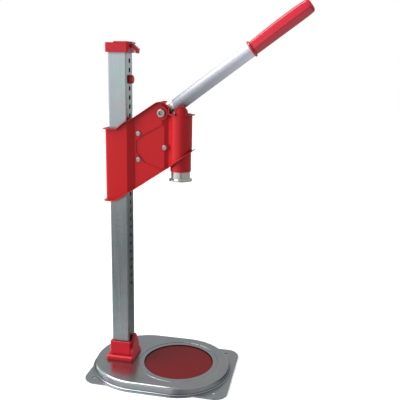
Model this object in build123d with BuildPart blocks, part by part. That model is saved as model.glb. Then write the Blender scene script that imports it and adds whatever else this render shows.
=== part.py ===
from build123d import *
from math import atan2, cos, degrees, hypot, radians, sin
import os

os.makedirs("parts", exist_ok=True)

# Crown cap bottle capper: pressed base, slotted column, sliding head with a lever-driven bell.
# Millimetres. The bench is z = 0, the origin is the centre of the four bench holes,
# +X points from the column to the bottle and the lever, and Y runs across the machine.
# Heights are read from the bench; side-view x values are counted from the ram's axis.

# Main layout.
ram_x = 27.5
column_reach = 98.0
hole_spacing_x = 200.0
hole_spacing_y = 130.0
bench_hole_r = 2.75

# Pressed base sheet.
sheet = 2.0
plateau_z = 14.0
plateau_rim_r = 85.0
plateau_foot_r = 88.0
foot_edge_r = 91.0
plateau_rear = 57.0
flange_x_min = -115.5
flange_x_max = 121.5
flange_half_y = 81.0
flange_corner_r = 21.0
step_r = 67.5
step_depth = 0.5
recess_r = 58.6
recess_floor_z = 9.0
pad_r = 57.8
pad_thick = 3.0

# Column: a square tube with a ladder of slots on the side that faces the bottle.
tube_side = 30.0
tube_wall = 1.5
tube_corner_r = 2.5
column_top_z = 535.0
slot_pitch = 14.0
slot_first_z = 147.0
slot_count = 27
slot_wide = 8.0
slot_high = 7.0
peg_slot = 24

# Foot collar and top cap.
collar_side = 36.5
collar_top_z = 46.0
collar_flange_side = 47.0
collar_flange_z = 22.0
gable_peak_z = 55.5
cap_side = 36.5
cap_bottom_z = 523.3
cap_top_z = 537.6
cap_panel_z = 539.4

# Head: two pressed shells from 1.2 sheet, wrapped round the column and the guide tube.
shell_sheet = 1.2
sleeve_rear_x = -119.0
sleeve_half_y = 18.2
web_half_y = 12.5
web_front_x = -27.5
valley = (-15.5, 8.0)
cylinder_r = 17.5
lip_out = 4.0
shell_seam = 0.15
head_bottom_z = 291.5
sleeve_top_z = 407.5
front_top_z = 432.0
apex = (-30.2, 436.2)
apex_r = 14.6
cheek = (3.2, 435.5)
cheek_r = 9.8
pivot_boss_r = 10.8
rivet_boss_r = 5.2
rivet_boss_y = 11.6
panel_deep = 1.0

# Lever: pivot, rest angle above the horizontal and the run of the tube and the grip.
pivot = (-28.5, 433.5)
lever_angle = 37.0
lever_offset = -3.4
lever_down = 20.0
lever_up = 30.0
lever_tube_r = 10.9
lever_tube_wall = 1.5
lever_tube_start = 19.5
lever_tube_end = 164.0
grip_end = 271.0
hub_r = 9.0
hub_half_y = 10.8
neck_r = 6.0

# Ram: it moves 20 per radian of the lever through a cam slot in the lever's lobe.
ram_rate = 20.0
ram_pin_z = 421.4
ram_pin_r = 3.0
clevis_r = 12.05
clevis_bottom_z = 376.0
clevis_top_z = 428.0
clevis_slot_z = 406.0
lobe_half_y = 3.0
rod_r = 7.0
guide_tube_r = 16.3
guide_tube_wall = 1.0
guide_tube_bottom_z = 343.0
guide_tube_top_z = 422.0
running_gap = 0.05

# Crimping bell for a 26 mm crown: the throat closes the skirt to 28.7.
bell_bottom_z = 328.0
bell_lip_r = 18.6
bell_mouth_r = 16.6
bell_throat_r = 14.35
bell_body_r = 15.0

# Pawl that locks the head to the slots while the lever is down.
pawl_pivot = (-65.5, 359.8)
pawl_slot = 17
pawl_half_y = 3.5
pawl_ratio = 0.38

# Rivets that tie the shells, as side-view points.
tie_points = [(-65.4, 401.0), (-23.3, 380.5)]
tie_r = 2.5
pivot_bolt_r = 5.0

column_x = ram_x - column_reach
slot_face_x = -column_reach + tube_side / 2


def side_plane(y=0.0):
    """The upright plane across the machine at y, with its origin under the ram's axis."""
    return Plane(origin=(ram_x, y, 0), x_dir=(1, 0, 0), z_dir=(0, -1, 0))


def axis_plane(z):
    """The level plane at height z, centred on the ram's axis."""
    return Plane(origin=(ram_x, 0, z))


def column_plane(z):
    """The level plane at height z, centred on the column."""
    return Plane(origin=(column_x, 0, z))


def slot_z(index):
    """The height of a column slot's centre, counted from the lowest slot."""
    return slot_first_z + slot_pitch * index


def lever_plane(along=0.0):
    """The plane square to the lever, centred on the tube's axis at a distance from the pivot."""
    a = radians(lever_angle)
    x = ram_x + pivot[0] + along * cos(a) - lever_offset * sin(a)
    z = pivot[1] + along * sin(a) + lever_offset * cos(a)
    return Plane(origin=(x, 0, z), x_dir=(0, 1, 0), z_dir=(cos(a), 0, sin(a)))


def pivot_plane(y=0.0):
    """The upright plane at y with its origin at the lever's pivot and x along the lever."""
    a = radians(lever_angle)
    return Plane(origin=(ram_x + pivot[0], y, pivot[1]), x_dir=(cos(a), 0, sin(a)), z_dir=(0, -1, 0))


def finish(builder, node):
    """Labels the finished piece and writes it."""
    builder.part.label = node
    export_step(builder.part, f"parts/{node}.step")


def racetrack(radius):
    """Plan of the base plateau: two equal rounds, one at the ram and one at the column side."""
    with BuildSketch(Plane.XY) as plan:
        with Locations((ram_x, 0), (ram_x - plateau_rear, 0)):
            Circle(radius)
        with Locations((ram_x - plateau_rear / 2, 0)):
            Rectangle(plateau_rear, 2 * radius)
    return plan.sketch


# Base plate, pressed from one sheet: the plateau, its hollow underside and the recess for the pad.
wall_lean = degrees(atan2(plateau_foot_r - plateau_rim_r, plateau_z))
with BuildPart() as plateau_hollow:
    extrude(racetrack(plateau_foot_r - sheet), amount=plateau_z - sheet, taper=wall_lean)
    fillet(plateau_hollow.edges().group_by(Axis.Z)[-1], 2.5)
with BuildPart() as base_plate:
    extrude(racetrack(plateau_foot_r), amount=plateau_z, taper=wall_lean)
    fillet(base_plate.edges().group_by(Axis.Z)[-1], 4.0)
    with BuildSketch(Plane.XY):
        with Locations(((flange_x_min + flange_x_max) / 2, 0)):
            RectangleRounded(flange_x_max - flange_x_min, 2 * flange_half_y, flange_corner_r)
        add(racetrack(foot_edge_r))
    extrude(amount=sheet)
    with BuildSketch(axis_plane(plateau_z)):
        Circle(step_r)
    extrude(amount=-step_depth, mode=Mode.SUBTRACT)
    add(plateau_hollow.part, mode=Mode.SUBTRACT)
    with BuildSketch(axis_plane(plateau_z - sheet)):
        Circle(step_r)
    extrude(amount=-step_depth)
    with BuildSketch(axis_plane(recess_floor_z - sheet)):
        Circle(recess_r + sheet)
    extrude(amount=plateau_z - step_depth - recess_floor_z + sheet)
    with BuildSketch(axis_plane(plateau_z)):
        Circle(recess_r)
    extrude(amount=recess_floor_z - plateau_z, mode=Mode.SUBTRACT)
    with Locations(Plane.XY.offset(sheet)):
        with GridLocations(hole_spacing_x, hole_spacing_y, 2, 2):
            Hole(bench_hole_r, depth=sheet)
    with Locations(column_plane(plateau_z)):
        with GridLocations(0, 14, 1, 2):
            Hole(4.2, depth=sheet)
finish(base_plate, "base_plate")

# Bottle pad, a disc that lies in the recess.
with BuildPart() as bottle_pad:
    with BuildSketch(axis_plane(recess_floor_z)):
        Circle(pad_r)
    extrude(amount=pad_thick)
    chamfer(bottle_pad.edges().group_by(Axis.Z)[-1], 0.6)
finish(bottle_pad, "bottle_pad")

# Column tube with its ladder of slots.
with BuildPart() as column_tube:
    with BuildSketch(column_plane(plateau_z)):
        RectangleRounded(tube_side, tube_side, tube_corner_r)
        RectangleRounded(
            tube_side - 2 * tube_wall, tube_side - 2 * tube_wall, tube_corner_r - tube_wall, mode=Mode.SUBTRACT
        )
    extrude(amount=column_top_z - plateau_z)
    with BuildSketch(Plane(origin=(ram_x + slot_face_x, 0, 0), x_dir=(0, 1, 0), z_dir=(1, 0, 0))):
        with Locations(*[(0, slot_z(i)) for i in range(slot_count)]):
            RectangleRounded(slot_wide, slot_high, 1.5)
    extrude(amount=-tube_wall, mode=Mode.SUBTRACT)
finish(column_tube, "column_tube")

# Threaded plug welded in the column's foot, and the two bolts that pull it down on the base.
plug_side = tube_side - 2 * tube_wall - 0.1
plug_high = 24.0
bolt_spacing = 14.0
with BuildPart() as column_plug:
    with BuildSketch(column_plane(plateau_z)):
        RectangleRounded(plug_side, plug_side, 1.0)
    extrude(amount=plug_high)
    chamfer(column_plug.edges().group_by(Axis.Z)[-1], 1.0)
    with Locations(column_plane(plateau_z)):
        with GridLocations(0, bolt_spacing, 1, 2):
            Cylinder(4.0, 20.0, align=(Align.CENTER, Align.CENTER, Align.MIN), mode=Mode.SUBTRACT)
finish(column_plug, "column_plug")

with BuildPart() as base_bolts:
    with BuildSketch(column_plane(plateau_z - sheet - 5.0)):
        with GridLocations(0, bolt_spacing, 1, 2):
            RegularPolygon(6.5, 6, major_radius=False)
    extrude(amount=5.0)
    with BuildSketch(column_plane(plateau_z - sheet)):
        with GridLocations(0, bolt_spacing, 1, 2):
            Circle(3.95)
    extrude(amount=sheet + 18.0)
finish(base_bolts, "base_bolts")

# Foot collar: a square cover with a low flange and a gabled lug on the bottle side.
with BuildPart() as foot_collar:
    with BuildSketch(column_plane(plateau_z)):
        RectangleRounded(collar_flange_side, collar_flange_side, 3.0)
    extrude(amount=collar_flange_z - plateau_z)
    chamfer(foot_collar.edges().group_by(Axis.Z)[-1], 2.0)
    with BuildSketch(column_plane(collar_flange_z - 2.0)):
        RectangleRounded(collar_side, collar_side, 2.5)
    extrude(amount=collar_top_z - collar_flange_z + 2.0)
    fillet(foot_collar.edges().group_by(Axis.Z)[-1], 1.2)
    gable = Plane(origin=(column_x + collar_side / 2 - 1.0, 0, 0), x_dir=(0, 1, 0), z_dir=(1, 0, 0))
    with BuildSketch(gable):
        with BuildLine():
            Polyline((-17.5, collar_flange_z - 4), (-17.5, 31), (-2.5, gable_peak_z), (2.5, gable_peak_z),
                     (17.5, 31), (17.5, collar_flange_z - 4), close=True)
        make_face()
    extrude(amount=4.5)
    fillet(foot_collar.edges().filter_by(Axis.X).sort_by(Axis.Z)[-2:], 2.0)
    with BuildSketch(column_plane(plateau_z)):
        RectangleRounded(tube_side + 0.4, tube_side + 0.4, tube_corner_r)
    extrude(amount=collar_top_z - plateau_z, mode=Mode.SUBTRACT)
    with BuildSketch(column_plane(plateau_z)):
        Rectangle(collar_side - 1.5, collar_side - 1.5)
    extrude(amount=4.0, mode=Mode.SUBTRACT)
finish(foot_collar, "foot_collar")

# Top cap with a hook that lifts crowns off, and the steel tongue over it.
tongue_x = cap_side / 2 - 5.5
tongue_half_y = 5.0
hook_half_y = 5.5
with BuildPart() as top_cap:
    with BuildSketch(column_plane(cap_bottom_z)):
        RectangleRounded(cap_side, cap_side, 2.5)
    extrude(amount=cap_top_z - cap_bottom_z)
    with BuildSketch(column_plane(cap_top_z - 1.0)):
        with Locations((cap_side / 2 - 12.0, 0)):
            RectangleRounded(24.0, cap_side - 4.0, 2.0)
    extrude(amount=cap_panel_z - cap_top_z + 1.0)
    fillet(top_cap.edges().group_by(Axis.Z)[-1], 1.0)
    with BuildSketch(side_plane()):
        with BuildLine():
            Polyline((-82.0, 535.8), (-76.2, 535.8), (-67.8, 528.8), (-69.0, 521.9), (-71.6, 522.6),
                     (-72.2, 526.4), (-76.6, 530.6), (-82.0, 530.6), close=True)
        make_face()
    extrude(amount=hook_half_y, both=True)
    with BuildSketch(column_plane(cap_bottom_z)):
        RectangleRounded(tube_side + 0.4, tube_side + 0.4, tube_corner_r)
    extrude(amount=column_top_z - cap_bottom_z + 0.2, mode=Mode.SUBTRACT)
    with BuildSketch(side_plane()):
        with Locations((-column_reach + tongue_x + 10.0, cap_panel_z)):
            Rectangle(20.0, 3.0)
    extrude(amount=tongue_half_y, both=True, mode=Mode.SUBTRACT)
finish(top_cap, "top_cap")

with BuildPart() as cap_tongue:
    with BuildSketch(side_plane()):
        with BuildLine():
            Polyline((-column_reach + tongue_x, cap_panel_z - 1.5), (-77.2, cap_panel_z - 1.5),
                     (-75.0, cap_panel_z - 3.0), (-74.2, cap_panel_z - 2.0), (-76.6, cap_panel_z),
                     (-column_reach + tongue_x, cap_panel_z), close=True)
        make_face()
    extrude(amount=tongue_half_y, both=True)
finish(cap_tongue, "cap_tongue")

# Stop peg, plugged in a slot above the head.
with BuildPart() as stop_peg:
    peg_face = Plane(origin=(ram_x + slot_face_x + 0.2, 0, slot_z(peg_slot)), x_dir=(0, 1, 0), z_dir=(1, 0, 0))
    with BuildSketch(peg_face):
        Circle(6.6)
    extrude(amount=6.0)
    fillet(stop_peg.faces().sort_by(Axis.X)[-1].edges(), 1.8)
    with BuildSketch(peg_face):
        RectangleRounded(slot_wide - 0.8, slot_high - 0.8, 1.0)
    extrude(amount=-6.5)
    chamfer(stop_peg.faces().sort_by(Axis.X)[0].edges(), 0.8)
finish(stop_peg, "stop_peg")


def head_plan(inset):
    """Plan of the head round the column and the guide tube, inset from its outer skin."""
    with BuildSketch(Plane(origin=(ram_x, 0, 0))) as plan:
        with BuildLine():
            Polyline((sleeve_rear_x, -sleeve_half_y), (-82.5, -sleeve_half_y), (-71.0, -web_half_y),
                     (web_front_x, -web_half_y), (valley[0], -valley[1]), (0, -valley[1]),
                     (0, valley[1]), (valley[0], valley[1]), (web_front_x, web_half_y),
                     (-71.0, web_half_y), (-82.5, sleeve_half_y), (sleeve_rear_x, sleeve_half_y), close=True)
        make_face()
        Circle(cylinder_r)
        fillet(plan.vertices().group_by(Axis.X)[0], 5.0)
        fillet(plan.vertices().filter_by(lambda v: -90 < v.X - ram_x < -20), 4.0)
        fillet(plan.vertices().filter_by(lambda v: -20 < v.X - ram_x < -5), 3.0)
    with BuildSketch(Plane(origin=(0, 0, 0))) as moved:
        add(plan.sketch)
        if inset:
            offset(amount=-inset, kind=Kind.INTERSECTION)
    return moved.sketch


def head_outline(has_cheek):
    """Side view of the head: level over the sleeve, rising to the pivot, with a cheek at the ram."""
    with BuildSketch(side_plane()) as outline:
        with BuildLine():
            lean = radians(32.4)
            Polyline((-132, head_bottom_z), (-104, head_bottom_z), (-97, 295.0), (-14.7, 350.3), (32, 385.5),
                     (32, front_top_z), (-20, front_top_z), apex,
                     (apex[0] - apex_r * sin(lean), apex[1] + apex_r * cos(lean)),
                     (-74, 424.6), (-86, 418.5), (-99, sleeve_top_z), (-132, sleeve_top_z), close=True)
        make_face()
        with Locations(apex):
            Circle(apex_r)
        if has_cheek:
            with Locations(cheek):
                Circle(cheek_r)
        corners = outline.vertices().filter_by(lambda v: abs(v.Z - front_top_z) < 0.01)
        fillet(corners.filter_by(lambda v: -20 < v.X - ram_x < 20), 3.5)
    return outline


def outline_core(has_cheek):
    """What is left of the side view when the depth of a lip is taken off all round."""
    with BuildSketch(side_plane()) as core:
        outline = head_outline(has_cheek).sketch_local
        add(outline)
        for step in range(8):
            turn = radians(45 * step)
            shift = Location((shell_sheet * cos(turn), shell_sheet * sin(turn), 0))
            add(outline.moved(shift), mode=Mode.INTERSECT)
    return core.sketch


def panel_outline(grow):
    """The shallow panel pressed into the web between the rivets, as a side-view outline."""
    with BuildSketch(side_plane()) as outline:
        with BuildLine():
            Polyline((-69.5, 389.5), (-57.0, 399.0), (-24.8, 417.0), (-24.8, 344.5), (-55.0, 355.6),
                     (-69.5, 372.0), close=True)
        make_face()
        fillet(outline.vertices(), 3.0)
        if grow:
            offset(amount=grow)
    return outline.sketch


def disc(point, radius):
    """A disc in the side view."""
    with BuildSketch(side_plane()) as plate:
        with Locations(point):
            Circle(radius)
    return plate.sketch


def head_form(has_cheek):
    """The pressed skin of the head: walls with panels and bosses, and lips that flare out all round."""
    with BuildPart() as skin:
        extrude(head_plan(0), amount=500)
        extrude(disc(tie_points[1], rivet_boss_r), amount=rivet_boss_y, both=True)
        extrude(disc(pivot, pivot_boss_r), amount=web_half_y, both=True)
        extrude(head_plan(shell_sheet), amount=500, mode=Mode.SUBTRACT)
        panel_y = web_half_y - panel_deep
        extrude(panel_outline(shell_sheet), amount=panel_y, both=True)
        for side in (-1, 1):
            extrude(panel_outline(0).moved(Location((0, side * panel_y, 0))), amount=-side * 10,
                    mode=Mode.SUBTRACT)
            extrude(disc(tie_points[1], rivet_boss_r).moved(Location((0, side * rivet_boss_y, 0))),
                    amount=-side * 10, mode=Mode.SUBTRACT)
        extrude(panel_outline(shell_sheet), amount=panel_y - shell_sheet, both=True, mode=Mode.SUBTRACT)
        inner = shell_sheet - 0.1
        extrude(disc(tie_points[1], rivet_boss_r - inner), amount=rivet_boss_y - shell_sheet, both=True,
                mode=Mode.SUBTRACT)
        extrude(disc(pivot, pivot_boss_r - inner), amount=web_half_y - shell_sheet, both=True,
                mode=Mode.SUBTRACT)
        extrude(head_outline(has_cheek).sketch, amount=40, both=True, mode=Mode.INTERSECT)
    with BuildPart() as lips:
        extrude(head_plan(-lip_out), amount=500)
        extrude(head_plan(shell_sheet), amount=500, mode=Mode.SUBTRACT)
        extrude(disc(pivot, pivot_boss_r - inner), amount=web_half_y - shell_sheet, both=True,
                mode=Mode.SUBTRACT)
        extrude(head_outline(has_cheek).sketch, amount=40, both=True, mode=Mode.INTERSECT)
        extrude(outline_core(has_cheek), amount=41, both=True, mode=Mode.SUBTRACT)
    with BuildPart() as form:
        add(skin.part)
        add(lips.part)
        extrude(disc(pivot, pivot_bolt_r + 0.1), amount=20, both=True, mode=Mode.SUBTRACT)
        for point in (pawl_pivot, *tie_points):
            extrude(disc(point, tie_r), amount=20, both=True, mode=Mode.SUBTRACT)
    return form


def shell(side, has_cheek):
    """One pressed half of the head, on the side -1 or +1 of the machine's middle plane."""
    with BuildPart() as half:
        add(head_form(has_cheek).part)
        with Locations((ram_x - 50, side * (shell_seam + 100), 360)):
            Box(300, 200, 300, mode=Mode.INTERSECT)
    return half


shell_front = shell(-1, True)
finish(shell_front, "head_shell_front")
shell_back = shell(1, False)
finish(shell_back, "head_shell_back")


def column_guide(bottom_z, top_z):
    """Plastic guide that fills the sleeve round the column."""
    with BuildPart() as guide:
        with BuildSketch(Plane.XY.offset(bottom_z)):
            add(head_plan(shell_sheet + 0.1))
            with Locations((column_x, 0)):
                RectangleRounded(tube_side + 0.4, tube_side + 0.4, tube_corner_r, mode=Mode.SUBTRACT)
            with Locations((ram_x - 78.0 + 100, 0)):
                Rectangle(200, 100, mode=Mode.SUBTRACT)
        extrude(amount=top_z - bottom_z)
    return guide


guide_upper = column_guide(391.0, 406.0)
finish(guide_upper, "column_guide_upper")
guide_lower = column_guide(309.0, 327.0)
finish(guide_lower, "column_guide_lower")

# Guide tube for the ram and the bell, slotted at the back where the lever's lobe enters.
guide_inner_r = guide_tube_r - guide_tube_wall
with BuildPart() as guide_tube:
    with BuildSketch(axis_plane(guide_tube_bottom_z)):
        Circle(guide_tube_r)
        Circle(guide_inner_r, mode=Mode.SUBTRACT)
    extrude(amount=guide_tube_top_z - guide_tube_bottom_z)
    with Locations((ram_x - guide_tube_r, 0, guide_tube_top_z)):
        Box(12, 2 * (lobe_half_y + 1.2), 48, mode=Mode.SUBTRACT)
finish(guide_tube, "guide_tube")


def bush(bottom_z, top_z, bore_r):
    """Plastic bush pressed in the guide tube."""
    with BuildPart() as ring:
        with BuildSketch(axis_plane(bottom_z)):
            Circle(guide_inner_r - 0.02)
            Circle(bore_r, mode=Mode.SUBTRACT)
        extrude(amount=top_z - bottom_z)
        chamfer(ring.edges().filter_by(GeomType.CIRCLE).group_by(Axis.Z)[-1].sort_by(SortBy.RADIUS)[0], 0.8)
    return ring


bush_upper = bush(380.0, 396.0, clevis_r + running_gap)
finish(bush_upper, "ram_bush_upper")
bush_lower = bush(357.0, 367.0, rod_r + running_gap)
finish(bush_lower, "ram_bush_lower")


def tie_rivet(point, seat_y):
    """A rivet across both webs at a side-view point, with its two heads on the webs at seat_y."""
    with BuildPart() as rivet:
        extrude(disc(point, tie_r), amount=seat_y, both=True)
        for side in (-1, 1):
            with BuildSketch(side_plane(side * seat_y)):
                with Locations(point):
                    Circle(tie_r + 1.4)
            extrude(amount=-side * 1.8)
        fillet(rivet.edges().filter_by(GeomType.CIRCLE).group_by(Axis.Y)[0], 1.3)
        fillet(rivet.edges().filter_by(GeomType.CIRCLE).group_by(Axis.Y)[-1], 1.3)
    return rivet


tie_seats = [web_half_y, rivet_boss_y]
with BuildPart() as shell_rivets:
    for tie_point, seat in zip(tie_points, tie_seats):
        add(tie_rivet(tie_point, seat).part)
finish(shell_rivets, "shell_rivets")
pawl_pin = tie_rivet(pawl_pivot, web_half_y)
finish(pawl_pin, "pawl_pin")


def sleeve(point, inner_r, outer_r, spans):
    """Spacer sleeves round a rivet, one for each span of y."""
    with BuildPart() as ring:
        for low, high in spans:
            with BuildSketch(side_plane(low)):
                with Locations(point):
                    Circle(outer_r)
                    Circle(inner_r, mode=Mode.SUBTRACT)
            extrude(amount=low - high)
    return ring


spacer_r = 3.6
web_inner_y = web_half_y - shell_sheet
with BuildPart() as tie_spacers:
    for tie_point, seat in zip(tie_points, tie_seats):
        add(sleeve(tie_point, tie_r, spacer_r, [(shell_sheet - seat, seat - shell_sheet)]).part)
finish(tie_spacers, "tie_spacers")
pawl_gap = pawl_half_y + 0.3
with BuildPart() as pawl_spacers:
    add(sleeve(pawl_pivot, tie_r, spacer_r, [(-web_inner_y, -pawl_gap), (pawl_gap, web_inner_y)]).part)
finish(pawl_spacers, "pawl_spacers")

# Pivot bolt with a domed socket head in front and a hexagon nut behind.
with BuildPart() as pivot_bolt:
    with BuildSketch(side_plane(-web_half_y)):
        with Locations(pivot):
            Circle(pivot_bolt_r)
    extrude(amount=-(2 * web_half_y + 8.5))
    with BuildSketch(side_plane(-web_half_y)):
        with Locations(pivot):
            Circle(6.4)
    extrude(amount=3.8)
    fillet(pivot_bolt.faces().sort_by(Axis.Y)[0].edges(), 1.6)
    with BuildSketch(side_plane(-web_half_y - 3.8)):
        with Locations(pivot):
            RegularPolygon(3.2, 6, major_radius=False)
    extrude(amount=-2.8, mode=Mode.SUBTRACT)
finish(pivot_bolt, "pivot_bolt")

with BuildPart() as pivot_nut:
    with BuildSketch(side_plane(web_half_y)):
        with Locations(pivot):
            RegularPolygon(8.5, 6, major_radius=False)
            Circle(pivot_bolt_r, mode=Mode.SUBTRACT)
    extrude(amount=-7.0)
finish(pivot_nut, "pivot_nut")


def cam_point(turn):
    """Place of the ram's pin in the lever's own axes, when the lever has turned from rest.

    The places lie within 0.15 of a straight line, so the lobe's slot is straight.
    """
    z = ram_pin_z + ram_rate * radians(turn) - pivot[1]
    x = -pivot[0]
    a = radians(lever_angle + turn)
    return (x * cos(a) + z * sin(a), -x * sin(a) + z * cos(a))


# Lever arm: hub, neck and spigot in one forging, with the cam lobe and the heel that sets the pawl.
cam_ends = [cam_point(-lever_down), cam_point(lever_up)]
cam_slot_r = ram_pin_r + 0.3
lever_bush_r = 6.2
lever_pin_r = 2.5
lever_pin_long = 12.0
lever_pin_along = 52.0
a_pin = radians(lever_angle)
lever_pin_plane = Plane(
    origin=lever_plane(lever_pin_along).origin + Vector(sin(a_pin), 0, -cos(a_pin)) * lever_tube_r,
    z_dir=(-sin(a_pin), 0, cos(a_pin)),
)
heel_r = 3.5
pawl_distance = hypot(pawl_pivot[0] - pivot[0], pawl_pivot[1] - pivot[1])
heel_reach = pawl_distance * pawl_ratio / (1 + pawl_ratio)
centre_line = atan2(pawl_pivot[1] - pivot[1], pawl_pivot[0] - pivot[0])
heel_turn = centre_line - radians(lever_angle)
heel = (heel_reach * cos(heel_turn), heel_reach * sin(heel_turn))
with BuildPart() as lever_arm:
    with BuildSketch(pivot_plane()):
        Circle(hub_r - 0.5)
        with Locations(*cam_ends):
            Circle(cam_slot_r + 3.6)
        make_hull()
    extrude(amount=lobe_half_y, both=True)
    with BuildSketch(pivot_plane()):
        Circle(hub_r - 0.5)
        with Locations(heel):
            Circle(heel_r)
        make_hull()
    extrude(amount=lobe_half_y, both=True)
    with BuildSketch(pivot_plane()):
        Circle(hub_r)
    extrude(amount=hub_half_y, both=True)
    fillet(lever_arm.edges().filter_by(GeomType.CIRCLE).filter_by(lambda e: abs(e.center().Y) > 9), 1.0)
    with BuildSketch(lever_plane(lever_tube_start)):
        Circle(lever_tube_r + running_gap)
    extrude(amount=20, mode=Mode.SUBTRACT)
    with BuildSketch(lever_plane(0)):
        Circle(neck_r)
    extrude(amount=lever_tube_start)
    with BuildSketch(lever_plane(lever_tube_start - 1.0)):
        Circle(lever_tube_r - lever_tube_wall - 0.02)
    extrude(amount=41)
    chamfer(lever_arm.faces().sort_by(Axis.X)[-1].edges(), 1.0)
    with BuildSketch(pivot_plane()):
        with Locations(*cam_ends):
            Circle(cam_slot_r)
        make_hull()
    extrude(amount=lobe_half_y, both=True, mode=Mode.SUBTRACT)
    with BuildSketch(pivot_plane()):
        Circle(lever_bush_r)
    extrude(amount=hub_half_y, both=True, mode=Mode.SUBTRACT)
    with BuildSketch(lever_pin_plane):
        Circle(lever_pin_r)
    extrude(amount=lever_pin_long, mode=Mode.SUBTRACT)
finish(lever_arm, "lever_arm")

# Bronze bush in the hub, turning on the pivot bolt.
with BuildPart() as lever_bush:
    with BuildSketch(pivot_plane()):
        Circle(lever_bush_r)
        Circle(pivot_bolt_r + running_gap, mode=Mode.SUBTRACT)
    extrude(amount=hub_half_y, both=True)
finish(lever_bush, "lever_bush")

with BuildPart() as lever_tube:
    with BuildSketch(lever_plane(lever_tube_start)):
        Circle(lever_tube_r)
        Circle(lever_tube_r - lever_tube_wall, mode=Mode.SUBTRACT)
    extrude(amount=lever_tube_end - lever_tube_start)
    with BuildSketch(lever_pin_plane):
        Circle(lever_pin_r)
    extrude(amount=lever_pin_long, mode=Mode.SUBTRACT)
finish(lever_tube, "lever_tube")

with BuildPart() as lever_pin:
    with BuildSketch(lever_pin_plane):
        Circle(lever_pin_r)
    extrude(amount=lever_pin_long)
    chamfer(lever_pin.edges().filter_by(GeomType.CIRCLE), 0.4)
finish(lever_pin, "lever_pin")

# Grip: a six-sided moulded handle with a flange, plugged in the end of the tube.
grip_sections = [(167.0, 11.8), (190.0, 12.1), (225.0, 12.4), (252.0, 12.4), (265.0, 12.0)]
grip_turn = 14
grip_edge_r = 3.0
with BuildPart() as lever_grip:
    for along, corner in grip_sections:
        with BuildSketch(lever_plane(along)) as section:
            RegularPolygon(corner, 6, rotation=grip_turn)
            fillet(section.vertices(), grip_edge_r)
    loft()
    with BuildSketch(lever_plane(grip_sections[-1][0])) as section:
        RegularPolygon(grip_sections[-1][1], 6, rotation=grip_turn)
        fillet(section.vertices(), grip_edge_r)
    extrude(amount=grip_end - grip_sections[-1][0], taper=8)
    fillet(lever_grip.faces().sort_by(Axis.X)[-1].edges(), 2.5)
    with BuildSketch(lever_plane(lever_tube_end)):
        Circle(13.0)
    extrude(amount=grip_sections[0][0] - lever_tube_end + 0.5)
    with BuildSketch(lever_plane(lever_tube_end - 28.0)):
        Circle(lever_tube_r - lever_tube_wall - 0.02)
    extrude(amount=28.5)
    with BuildSketch(lever_plane(lever_tube_end - 28.0)):
        Circle(6.5)
    extrude(amount=60.0, mode=Mode.SUBTRACT)
finish(lever_grip, "lever_grip")

# Ram: slotted clevis, pin, rod and the crimping bell with its crown magnet.
spigot_r = 5.0
clevis_bore = 14.0
with BuildPart() as ram_clevis:
    with BuildSketch(axis_plane(clevis_bottom_z)):
        Circle(clevis_r)
    extrude(amount=clevis_top_z - clevis_bottom_z)
    fillet(ram_clevis.edges().group_by(Axis.Z)[-1], 2.0)
    with BuildSketch(side_plane()):
        with Locations((0, clevis_top_z)):
            Rectangle(30, 2 * (clevis_top_z - clevis_slot_z))
    extrude(amount=lobe_half_y + 0.5, both=True, mode=Mode.SUBTRACT)
    with BuildSketch(side_plane()):
        with Locations((0, ram_pin_z)):
            Circle(ram_pin_r)
    extrude(amount=20, both=True, mode=Mode.SUBTRACT)
    with BuildSketch(axis_plane(clevis_bottom_z)):
        Circle(spigot_r)
    extrude(amount=clevis_bore, mode=Mode.SUBTRACT)
finish(ram_clevis, "ram_clevis")

with BuildPart() as ram_pin:
    with BuildSketch(side_plane()):
        with Locations((0, ram_pin_z)):
            Circle(ram_pin_r)
    extrude(amount=11.5, both=True)
    chamfer(ram_pin.edges().filter_by(GeomType.CIRCLE), 0.4)
finish(ram_pin, "ram_pin")

# Heights inside the bell, counted up from its mouth.
throat_low = 4.5
throat_high = 6.5
ceiling = 8.5
magnet_top = 11.5
socket_floor = 13.0
bell_high = guide_tube_bottom_z - bell_bottom_z
screw_r = 1.5
crown_top_r = 13.4
magnet_r = 6.0
with BuildPart() as ram_rod:
    with BuildSketch(axis_plane(guide_tube_bottom_z)):
        Circle(rod_r)
    extrude(amount=clevis_bottom_z - guide_tube_bottom_z)
    with BuildSketch(axis_plane(bell_bottom_z + socket_floor)):
        Circle(spigot_r)
    extrude(amount=clevis_bottom_z + clevis_bore - bell_bottom_z - socket_floor)
    with BuildSketch(axis_plane(bell_bottom_z + socket_floor)):
        Circle(screw_r)
    extrude(amount=6.0, mode=Mode.SUBTRACT)
finish(ram_rod, "ram_rod")

bell_plane = Plane(origin=(ram_x, 0, bell_bottom_z), x_dir=(1, 0, 0), z_dir=(0, -1, 0))
with BuildPart() as crimp_bell:
    with BuildSketch(bell_plane) as profile:
        with BuildLine():
            Polyline((bell_mouth_r, 0), (bell_lip_r, 0), (bell_lip_r, 2.6), (bell_body_r, 4.0),
                     (bell_body_r, bell_high), (spigot_r, bell_high), (spigot_r, socket_floor),
                     (screw_r, socket_floor), (screw_r, magnet_top), (magnet_r, magnet_top),
                     (magnet_r, ceiling), (crown_top_r, ceiling), (crown_top_r, throat_high + 1.0),
                     (bell_throat_r, throat_high), (bell_throat_r, throat_low), close=True)
        make_face()
        fillet(profile.vertices().filter_by(lambda v: v.X > ram_x + bell_body_r + 0.1), 0.9)
    revolve(axis=Axis((ram_x, 0, 0), (0, 0, 1)))
finish(crimp_bell, "crimp_bell")

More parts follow.
